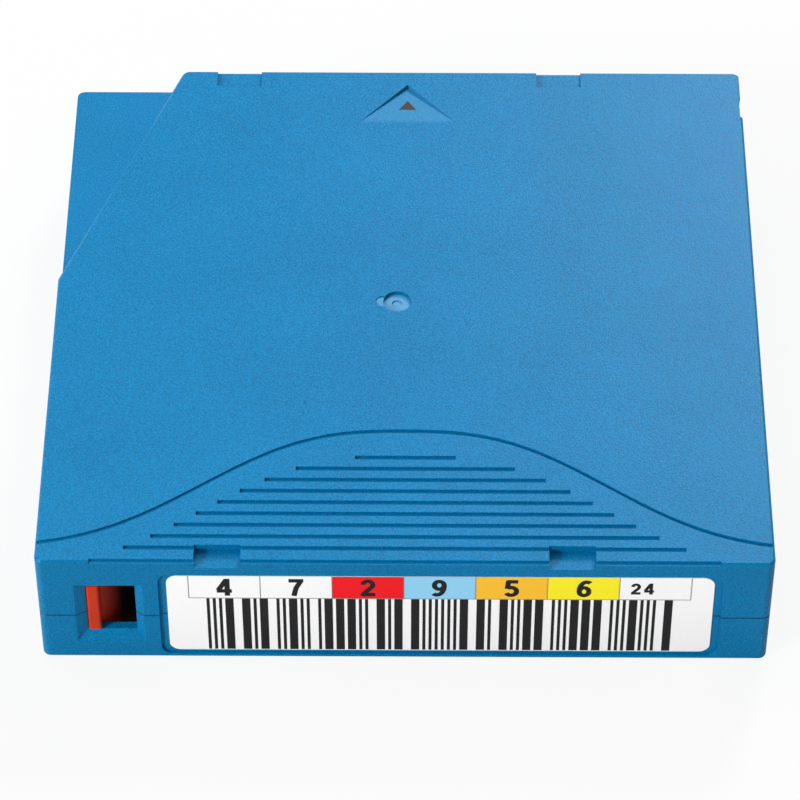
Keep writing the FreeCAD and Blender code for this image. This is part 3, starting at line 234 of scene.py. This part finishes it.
class Shader:
    """A material under construction, whose textures lie in the frame's own coordinates."""

    def __init__(self, name):
        self.material = bpy.data.materials.new(name)
        self.material.use_nodes = True
        self.nodes = self.material.node_tree.nodes
        self.links = self.material.node_tree.links
        self.surface = self.nodes["Principled BSDF"]
        self.place = self.nodes.new("ShaderNodeTexCoord").outputs["Object"]

    def link(self, source, target):
        self.links.new(source, target)

    def coordinates(self):
        """X, Y and Z of the place."""
        apart = self.nodes.new("ShaderNodeSeparateXYZ")
        self.link(self.place, apart.inputs["Vector"])
        return [apart.outputs[axis] for axis in "XYZ"]

    def noise(self, grain, detail=2.0, place=None):
        """Noise whose lumps are about one grain, in metres, across."""
        texture = self.nodes.new("ShaderNodeTexNoise")
        texture.inputs["Scale"].default_value = 1 / grain
        texture.inputs["Detail"].default_value = detail
        self.link(place or self.place, texture.inputs["Vector"])
        return texture.outputs["Fac"]

    def ramp(self, value, low, high, to_low=0.0, to_high=1.0):
        """Value from low to high becomes to_low to to_high, and is held at both ends."""
        change = self.nodes.new("ShaderNodeMapRange")
        names = ("From Min", "From Max", "To Min", "To Max")
        for name, number in zip(names, (low, high, to_low, to_high)):
            change.inputs[name].default_value = number
        self.link(value, change.inputs["Value"])
        return change.outputs["Result"]

    def spread(self, noise, low=0.0, high=1.0):
        """Noise stretched to go from low to high."""
        return self.ramp(noise, NOISE_LOW, NOISE_HIGH, low, high)

    def fade(self, value, start, distances, towards=1, share=1.0):
        """The share at the first distance from start, and nothing at the second one.

        The distances are in millimetres, along the value or, where towards is -1, against it.
        """
        full, gone = (start + towards * distance * MM for distance in distances)
        if full < gone:
            return self.ramp(value, full, gone, share, 0.0)
        return self.ramp(value, gone, full, 0.0, share)

    def math(self, operation, *values):
        """A sum on sockets and numbers."""
        step = self.nodes.new("ShaderNodeMath")
        step.operation = operation
        for socket, value in zip(step.inputs, values):
            if isinstance(value, (int, float)):
                socket.default_value = value
            else:
                self.link(value, socket)
        return step.outputs["Value"]

    def product(self, first, *others):
        """All values multiplied."""
        for value in others:
            first = self.math("MULTIPLY", first, value)
        return first

    def blend(self, share, first, second):
        """A colour that goes from first to second as share goes from 0 to 1."""
        mix = self.nodes.new("ShaderNodeMix")
        mix.data_type = "RGBA"
        self.link(share, mix.inputs["Factor"])
        for name, colour in (("A", first), ("B", second)):
            socket = next(item for item in mix.inputs if item.name == name and item.type == "RGBA")
            if isinstance(colour, tuple):
                socket.default_value = (*colour, 1.0)
            else:
                self.link(colour, socket)
        return next(item for item in mix.outputs if item.type == "RGBA")

    def bump(self, height, depth, strength=1.0):
        """Relief of the given depth in metres."""
        relief = self.nodes.new("ShaderNodeBump")
        relief.inputs["Distance"].default_value = depth
        relief.inputs["Strength"].default_value = strength
        self.link(height, relief.inputs["Height"])
        self.link(relief.outputs["Normal"], self.surface.inputs["Normal"])

    def colour(self, source):
        self.link(source, self.surface.inputs["Base Color"])

    def colour_so_far(self):
        return self.surface.inputs["Base Color"].links[0].from_socket

    def mottle(self, noise, colour, dark, light):
        """The colour, darker and lighter by these factors with the noise."""
        self.colour(self.blend(self.spread(noise), tinted(colour, dark), tinted(colour, light)))

    def rough(self, noise, low, high):
        """Roughness that goes from low to high with the noise."""
        self.link(self.spread(noise, low, high), self.surface.inputs["Roughness"])

    def set(self, **values):
        """Numbers on the surface shader's own sockets."""
        for name, value in values.items():
            self.surface.inputs[name.replace("_", " ")].default_value = value


def tinted(colour, factor):
    return tuple(min(1.0, part * factor) for part in colour)


def moulded_plastic(name, colour, grain=0.3 * MM, relief=0.012 * MM, roughness=0.45, contrast=0.10):
    """Plastic with the fine grain of a spark-eroded mould."""
    shader = Shader(name)
    grains = shader.noise(grain)
    clouds = shader.noise(CLOUD_SIZE * MM)
    fine = shader.math("MULTIPLY", grains, 1 - CLOUD_SHARE)
    broad = shader.math("MULTIPLY", clouds, CLOUD_SHARE)
    shader.mottle(shader.math("ADD", fine, broad), colour, dark=1 - contrast, light=1 + contrast)
    shader.rough(grains, low=roughness - 0.05, high=roughness + 0.07)
    shader.bump(grains, relief)
    shader.set(Specular_IOR_Level=PLASTIC_GLOSS)
    return shader


def printed_film(name, colour):
    """Coated film or the ink on it: smooth, with a faint unevenness."""
    shader = Shader(name)
    waves = shader.noise(grain=6 * MM)
    fibres = shader.noise(grain=0.25 * MM)
    shader.mottle(fibres, colour, dark=0.985, light=1.01)
    shader.rough(fibres, low=0.30, high=0.38)
    shader.bump(waves, depth=0.02 * MM, strength=0.3)
    shader.set(Specular_IOR_Level=FILM_GLOSS)
    return shader


def drawn_steel(name):
    """Bright steel with fine marks."""
    shader = Shader(name)
    marks = shader.noise(grain=0.12 * MM, detail=4.0)
    shader.mottle(marks, STEEL, dark=0.88, light=1.1)
    shader.rough(marks, low=0.22, high=0.38)
    shader.bump(marks, depth=0.004 * MM)
    shader.set(Metallic=1.0)
    return shader


def distance_from(shader, line, x, y):
    """Distance from an upright line to the place at x and y."""
    east = shader.math("POWER", shader.math("SUBTRACT", x, line.x), 2)
    north = shader.math("POWER", shader.math("SUBTRACT", y, line.y), 2)
    return shader.math("SQRT", shader.math("ADD", east, north))


def wound_tape(name, axis):
    """Dark tape whose edges show as fine rings round the reel's axis."""
    shader = Shader(name)
    x, y, _ = shader.coordinates()
    turns = shader.nodes.new("ShaderNodeCombineXYZ")
    shader.link(distance_from(shader, axis, x, y), turns.inputs["X"])
    rings = shader.noise(grain=0.12 * MM, detail=4.0, place=turns.outputs["Vector"])
    shader.mottle(rings, TAPE_BROWN, dark=0.6, light=1.6)
    shader.rough(rings, low=0.24, high=0.40)
    shader.bump(rings, depth=0.01 * MM)
    return shader


def case_plastic(axis, front, top, seam):
    """The case's blue plastic: paler in the gate and on the arrow's ramp, with a painted shadow in the
    seam.
    """
    shader = moulded_plastic(
        "case_blue", BLUE, grain=0.22 * MM, relief=0.03 * MM, roughness=0.34, contrast=0.36,
    )
    x, y, z = shader.coordinates()
    shallow = shader.fade(z, top, SHADE_DEPTHS, towards=-1)

    lobe_middle = axis - Vector((LOBE_OFFSET * MM, 0, 0))
    disc = shader.fade(distance_from(shader, axis, x, y), 0, GATE_RADII)
    lobe = shader.fade(distance_from(shader, lobe_middle, x, y), 0, LOBE_RADII, share=LOBE_SHARE)
    sunk = shader.fade(z, top, GATE_DEPTHS, towards=-1)
    gate = shader.product(shader.math("MAXIMUM", disc, lobe), sunk, shallow)

    beside = shader.fade(shader.math("ABSOLUTE", x), 0, RAMP_HALF_WIDTHS, share=RAMP_SHARE)
    beyond = shader.fade(y, front, RAMP_ENDS, towards=-1)
    below = shader.fade(z, top, RAMP_DEPTHS, towards=-1)
    ramp = shader.product(beside, beyond, below, shallow)

    # Painted shadow: along the seam between the two halves the blue is coloured dark, as the gap's shade
    from_seam = shader.math("ABSOLUTE", shader.math("SUBTRACT", z, seam))
    dark = shader.fade(from_seam, 0, SEAM_SHADOW_HALF_WIDTHS, share=SEAM_SHADOW_SHARE)
    pale = shader.blend(shader.math("MAXIMUM", gate, ramp), shader.colour_so_far(), BLUE_PALE)
    shader.colour(shader.blend(dark, pale, SEAM_SHADOW_BLUE))
    return shader


def slider_plastic(low, high):
    """The slider's red plastic, with shade painted dark into its colour in the recess beside the tab."""
    shader = moulded_plastic("slider_red", SLIDER_RED, relief=0.006 * MM, roughness=0.38)
    x, y, _ = shader.coordinates()
    # Painted shade: deep in the hollow beside the tab the red is coloured dark, where shadow falls
    behind = shader.fade(y, low.y, HOLLOW_SHADE_DEPTHS)
    beside = shader.fade(x, high.x, HOLLOW_SHADE_SIDES, towards=-1)
    hollow_shade = shader.product(behind, beside)
    shader.colour(shader.blend(hollow_shade, shader.colour_so_far(), SLIDER_PAINTED_SHADE))
    return shader


# Meshes ----------------------------------------------------------------------------------------

def piece(name, vertices, faces, shader, slot, body="shell", smooth=False):
    """A mesh piece that rides on a body."""
    mesh = bpy.data.meshes.new(name)
    mesh.from_pydata(vertices, [], faces)
    working = bmesh.new()
    working.from_mesh(mesh)
    bmesh.ops.recalc_face_normals(working, faces=working.faces)
    working.to_mesh(mesh)
    working.free()
    mesh.polygons.foreach_set("use_smooth", [smooth] * len(mesh.polygons))
    mesh.materials.append(shader.material)
    made = bpy.data.objects.new(name, mesh)
    bpy.context.scene.collection.objects.link(made)
    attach(made, body)
    return made


def blocks(spans):
    """Vertices and faces of one box per pair of corners."""
    vertices, faces = [], []
    for low, high in spans:
        start = len(vertices)
        for z in (low[2], high[2]):
            for x, y in ((low[0], low[1]), (high[0], low[1]), (high[0], high[1]), (low[0], high[1])):
                vertices.append((x, y, z))
        sides = [(0, 3, 2, 1), (4, 5, 6, 7), (0, 1, 5, 4), (1, 2, 6, 5), (2, 3, 7, 6), (3, 0, 4, 7)]
        faces += [tuple(start + corner for corner in side) for side in sides]
    return vertices, faces


def helix(radius, wire, length, turns, steps=36, sides=10):
    """A round wire wound about Z from 0 to length, with closed ends."""
    rise = length - 2 * wire
    closed_rise = CLOSED_PITCH * wire * CLOSED_TURNS

    def height(turn):
        if turn < CLOSED_TURNS:
            return closed_rise * turn / CLOSED_TURNS
        if turn > turns - CLOSED_TURNS:
            return rise - closed_rise * (turns - turn) / CLOSED_TURNS
        share = (turn - CLOSED_TURNS) / (turns - 2 * CLOSED_TURNS)
        return closed_rise + (rise - 2 * closed_rise) * share

    count = int(turns * steps)
    vertices, faces = [], []
    for step in range(count + 1):
        turn = turns * step / count
        angle = 2 * math.pi * turn
        outward = Vector((math.cos(angle), math.sin(angle), 0))
        middle = outward * radius + Vector((0, 0, wire + height(turn)))
        for side in range(sides):
            around = 2 * math.pi * side / sides
            upward = Vector((0, 0, wire * math.sin(around)))
            vertices.append(middle + outward * wire * math.cos(around) + upward)
    for step in range(count):
        for side in range(sides):
            after = (side + 1) % sides
            first, second = step * sides, (step + 1) * sides
            faces.append((first + side, first + after, second + after, second + side))
    faces.append(tuple(reversed(range(sides))))
    faces.append(tuple(count * sides + side for side in range(sides)))
    return vertices, faces


def glyph_path(kind, *values):
    """The points of one stroke of a digit."""
    if kind == "line":
        return [Vector(point) for point in values]
    x, y, radius_x, radius_y, start, end, *last = values
    points = []
    for step in range(ARC_STEPS + 1):
        angle = math.radians(start + (end - start) * step / ARC_STEPS)
        points.append(Vector((x + radius_x * math.cos(angle), y + radius_y * math.sin(angle))))
    return points + [Vector(point) for point in last]


def digits(text, height, centre, front, back):
    """Vertices and faces of upright printed digits about a centre in X and Z.

    Each further stroke of a digit stands out a little more, so that no two faces coincide.
    """
    vertices, faces = [], []
    pitch = GLYPH_WIDTH + STROKE_SHARE
    left = -(pitch * len(text) - STROKE_SHARE) / 2
    for place, digit in enumerate(text):
        for layer, stroke in enumerate(GLYPHS[digit]):
            path = glyph_path(*stroke)
            start = len(vertices)
            for number, point in enumerate(path):
                along = path[min(number + 1, len(path) - 1)] - path[max(number - 1, 0)]
                across = Vector((-along.y, along.x)).normalized() * STROKE_SHARE / 2
                for y in (front - layer * STROKE_LIFT * MM, back):
                    for edge in (point + across, point - across):
                        x = centre[0] + (left + place * pitch + edge.x) * height
                        vertices.append((x, y, centre[1] + (edge.y - 0.5) * height))
            for number in range(len(path) - 1):
                near = start + 4 * number
                for first, second in ((0, 1), (1, 3), (3, 2), (2, 0)):
                    faces.append((near + first, near + second, near + 4 + second, near + 4 + first))
            last = start + 4 * (len(path) - 1)
            faces += [(start, start + 2, start + 3, start + 1), (last, last + 1, last + 3, last + 2)]
    return vertices, faces


# Pieces ----------------------------------------------------------------------------------------

def bar_spans(left, low, high, face, front):
    """Bars and spaces in signs, some of the bars and one of the spaces wide in each."""
    chooser = random.Random(BAR_SEED)
    signs = []
    for _ in range(BAR_SIGNS):
        wide_bars = chooser.sample(range(SIGN_BARS), SIGN_WIDE_BARS)
        wide_space = chooser.randrange(SIGN_BARS - 1)
        sign = []
        for number in range(SIGN_BARS):
            sign.append(WIDE_TO_NARROW if number in wide_bars else 1.0)
            if number < SIGN_BARS - 1:
                sign.append(WIDE_TO_NARROW if number == wide_space else 1.0)
        signs.append(sign)
    narrow = BARS_LENGTH / (sum(map(sum, signs)) + BAR_SIGNS - 1)
    spans = []
    x = left + BARS_FIRST * MM
    for sign in signs:
        for number, width in enumerate(sign):
            if number % 2 == 0:
                spans.append(((x, front, low), (x + width * narrow * MM, face, high)))
            x += width * narrow * MM
        x += narrow * MM
    return spans


def dress_label():
    """White film with a row of coloured cells, digits and a field of bars."""
    low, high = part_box("cartridge_label")
    left, face = low.x, low.y
    ink = INK_THICKNESS * MM
    front = face - ink
    inks = {name: printed_film(f"ink_{name}", colour) for name, colour in CELL_INKS.items()}
    black = printed_film("ink_black", INK_BLACK)
    grey = printed_film("ink_grey", INK_GREY)
    cell_low = high.z - CELL_HEIGHT * MM
    edges = [left + (CELL_FIRST + CELL_PITCH * number) * MM for number in range(len(CELL_COLOURS) + 1)]
    for number, colour in enumerate(CELL_COLOURS):
        if colour:
            span = ((edges[number], front, cell_low), (edges[number + 1], face, high.z))
            piece(f"label_cell_{colour}", *blocks([span]), inks[colour], "label_white")
    half_rule = RULE_WIDTH / 2 * MM
    rule_front = front - RULE_LIFT * MM
    rules = [((x - half_rule, rule_front, cell_low), (x + half_rule, face, high.z)) for x in edges]
    rules.append((
        (edges[0] - half_rule, rule_front, cell_low - half_rule),
        (edges[-1] + half_rule, face, cell_low + half_rule),
    ))
    piece("label_rules", *blocks(rules), grey, "label_white")
    middle = cell_low + CELL_HEIGHT * MM / 2
    for number, digit in enumerate(DIGITS):
        centre = (edges[number] + CELL_PITCH * MM / 2, middle)
        shape = digits(digit, DIGIT_HEIGHT * MM, centre, front - ink, face)
        piece(f"label_digit_{number + 1}", *shape, black, "label_white")
    small = (edges[-2] + CELL_PITCH * MM * SMALL_DIGITS_SHARE, middle)
    shape = digits(SMALL_DIGITS, SMALL_DIGIT_HEIGHT * MM, small, front, face)
    piece("label_small_digits", *shape, black, "label_white")
    bars = bar_spans(left, low.z + BARS_LOW * MM, low.z + BARS_HIGH * MM, face, front)
    piece("label_bars", *blocks(bars), black, "label_white")


def dress_arrow():
    """The small printed triangle on the ramp of the arrow."""
    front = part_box("upper_shell")[1].y
    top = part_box("upper_shell")[1].z
    ramp_start = front - RAMP_FOOT * MM
    ramp_length = RAMP_LENGTH * MM
    ramp_fall = RAMP_FALL * MM

    def on_ramp(x, y, lift):
        return (x, y, top - ramp_fall * (y - ramp_start) / ramp_length + lift)

    half, foot, tip = PRINT_HALF_WIDTH * MM, front - PRINT_FOOT * MM, front - PRINT_TIP * MM
    corners = [(-half, foot), (half, foot), (0, tip)]
    thickness = INK_THICKNESS * MM
    vertices = [on_ramp(x, y, lift) for lift in (-thickness, thickness) for x, y in corners]
    faces = [(2, 1, 0), (3, 4, 5), (0, 1, 4, 3), (1, 2, 5, 4), (2, 0, 3, 5)]
    ink = printed_film("ink_brown", ARROW_BROWN)
    piece("arrow_print", vertices, faces, ink, "shell_blue")


def find_joint(name):
    return next(joint for joint in frame["joints"] if joint["name"] == name)


def dress_brake_spring(steel, axis):
    """A round-wire spring in place of the plain one, held at the roof."""
    low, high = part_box("brake_spring")
    wire = BRAKE_WIRE * MM
    radius = (high.x - low.x) / 2 - wire
    vertices, faces = helix(radius, wire, high.z - low.z, BRAKE_TURNS)
    vertices = [vertex + Vector((axis.x, axis.y, low.z)) for vertex in vertices]
    spring = piece("brake_coil", vertices, faces, steel, "steel", smooth=True)
    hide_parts("brake_spring")
    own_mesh(spring)


def dress_door_spring(steel):
    """The same for the spring that lies along the side, held at its stop."""
    low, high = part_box("door_spring")
    wire = DOOR_WIRE * MM
    radius = (high.z - low.z) / 2 - wire
    middle = (low + high) / 2
    vertices, faces = helix(radius, wire, high.y - low.y, DOOR_TURNS)
    lie_down = Matrix.Rotation(-math.pi / 2, 3, "X")
    vertices = [lie_down @ vertex + Vector((middle.x, low.y, middle.z)) for vertex in vertices]
    spring = piece("door_coil", vertices, faces, steel, "steel", smooth=True)
    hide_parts("door_spring")
    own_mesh(spring)


def dress_nodes(steel, axis):
    """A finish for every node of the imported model."""
    low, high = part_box("upper_shell")
    case = case_plastic(axis, high.y, high.z, low.z)
    reel = moulded_plastic("reel_white", REEL_WHITE, relief=0.006 * MM, contrast=0.03)
    brake = moulded_plastic("brake_white", BRAKE_WHITE, relief=0.006 * MM, contrast=0.03)
    tape = wound_tape("tape", axis)
    finishes = {
        "upper_shell": case,
        "lower_shell": case,
        "door": moulded_plastic("door_blue", BLUE, grain=0.25 * MM, roughness=0.4),
        "cartridge_label": printed_film("label_film", LABEL_WHITE),
        "write_protect_slider": slider_plastic(*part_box("write_protect_slider")),
        "reel_hub": reel,
        "upper_flange": reel,
        "reel_plate": steel,
        "tape_pack": tape,
        "tape_leader": tape,
        "brake_button": brake,
        "release_pad": brake,
        "brake_spring": steel,
        "door_spring": steel,
        "pin_spring": steel,
        "leader_pin": steel,
        "pin_clip": reel,
        "shell_screws": steel,
        "memory_board": moulded_plastic("board_green", BOARD_GREEN, relief=0.004 * MM, roughness=0.5),
        "memory_chip": moulded_plastic("chip_black", CHIP_BLACK, relief=0.004 * MM, roughness=0.5),
    }
    for name, node in frame["nodes"].items():
        for place in node.material_slots:
            place.material = finishes[name].material


# Stage -----------------------------------------------------------------------------------------

def make_world():
    """White to the camera and in reflections, and a soft even light on the object."""
    world = bpy.data.worlds.new("studio")
    bpy.context.scene.world = world
    world.use_nodes = True
    nodes, links = world.node_tree.nodes, world.node_tree.links
    background = nodes["Background"]
    background.inputs["Color"].default_value = (1, 1, 1, 1)
    rays = nodes.new("ShaderNodeLightPath")
    seen = rays.outputs["Is Camera Ray"]
    for name in ("Is Glossy Ray", "Is Transmission Ray"):
        either = nodes.new("ShaderNodeMath")
        either.operation = "MAXIMUM"
        links.new(seen, either.inputs[0])
        links.new(rays.outputs[name], either.inputs[1])
        seen = either.outputs["Value"]
    strength = nodes.new("ShaderNodeMapRange")
    strength.inputs["To Min"].default_value = WORLD_LIGHT
    strength.inputs["To Max"].default_value = 1.0
    links.new(seen, strength.inputs["Value"])
    links.new(strength.outputs["Result"], background.inputs["Strength"])


def floor_material():
    """Matte, with a glow that only the camera sees."""
    material = bpy.data.materials.new("floor_white")
    material.use_nodes = True
    nodes, links = material.node_tree.nodes, material.node_tree.links
    nodes.clear()
    matte = nodes.new("ShaderNodeBsdfDiffuse")
    matte.inputs["Color"].default_value = (*FLOOR_WHITE, 1)
    glow = nodes.new("ShaderNodeEmission")
    rays = nodes.new("ShaderNodeLightPath")
    share = nodes.new("ShaderNodeMath")
    share.operation = "MULTIPLY"
    share.inputs[1].default_value = FLOOR_GLOW
    links.new(rays.outputs["Is Camera Ray"], share.inputs[0])
    mix = nodes.new("ShaderNodeMixShader")
    links.new(share.outputs["Value"], mix.inputs["Fac"])
    links.new(matte.outputs["BSDF"], mix.inputs[1])
    links.new(glow.outputs["Emission"], mix.inputs[2])
    output = nodes.new("ShaderNodeOutputMaterial")
    links.new(mix.outputs["Shader"], output.inputs["Surface"])
    return material


def make_floor():
    """A pale floor that the camera sees as nearly white, with the object's shadow on it."""
    mesh = bpy.data.meshes.new("floor")
    around = ((-1, -1), (1, -1), (1, 1), (-1, 1))
    corners = [(x * FLOOR_HALF, y * FLOOR_HALF, -FLOOR_DROP) for x, y in around]
    mesh.from_pydata(corners, [], [(0, 1, 2, 3)])
    mesh.materials.append(floor_material())
    floor = bpy.data.objects.new("floor", mesh)
    bpy.context.scene.collection.objects.link(floor)


def make_lights():
    """Square soft lamps, turned to the middle of the object."""
    for name, (place, size, power) in LAMPS.items():
        lamp = bpy.data.lights.new(name, "AREA")
        lamp.shape = "SQUARE"
        lamp.size = size
        lamp.energy = power
        made = bpy.data.objects.new(name, lamp)
        made.location = place
        made.rotation_mode = "QUATERNION"
        made.rotation_quaternion = (-Vector(place)).to_track_quat("-Z", "Y")
        bpy.context.scene.collection.objects.link(made)


def make_camera():
    """A long lens on the label's side, looking down at the case."""
    camera_data = bpy.data.cameras.new("camera")
    camera_data.lens = CAMERA_LENS
    camera_data.clip_start = CAMERA_NEAR
    camera = bpy.data.objects.new("camera", camera_data)
    bpy.context.scene.collection.objects.link(camera)
    bpy.context.scene.camera = camera
    low, high = cad_box
    centre = (low + high) / 2
    azimuth, elevation = math.radians(CAMERA_AZIMUTH), math.radians(CAMERA_ELEVATION)
    away = Vector((
        math.sin(azimuth) * math.cos(elevation),
        -math.cos(azimuth) * math.cos(elevation),
        math.sin(elevation),
    ))
    camera.location = centre + away * CAMERA_DISTANCE
    camera.rotation_mode = "QUATERNION"
    camera.rotation_quaternion = (centre + CAMERA_AIM - camera.location).to_track_quat("-Z", "Y")


reel_axis = Vector(find_joint("reel_spin")["pos_m"])
steel = drawn_steel("steel")
dress_nodes(steel, reel_axis)
dress_label()
dress_arrow()
dress_brake_spring(steel, reel_axis)
dress_door_spring(steel)
make_world()
make_floor()
make_lights()
make_camera()
bpy.context.scene.view_settings.view_transform = "Standard"
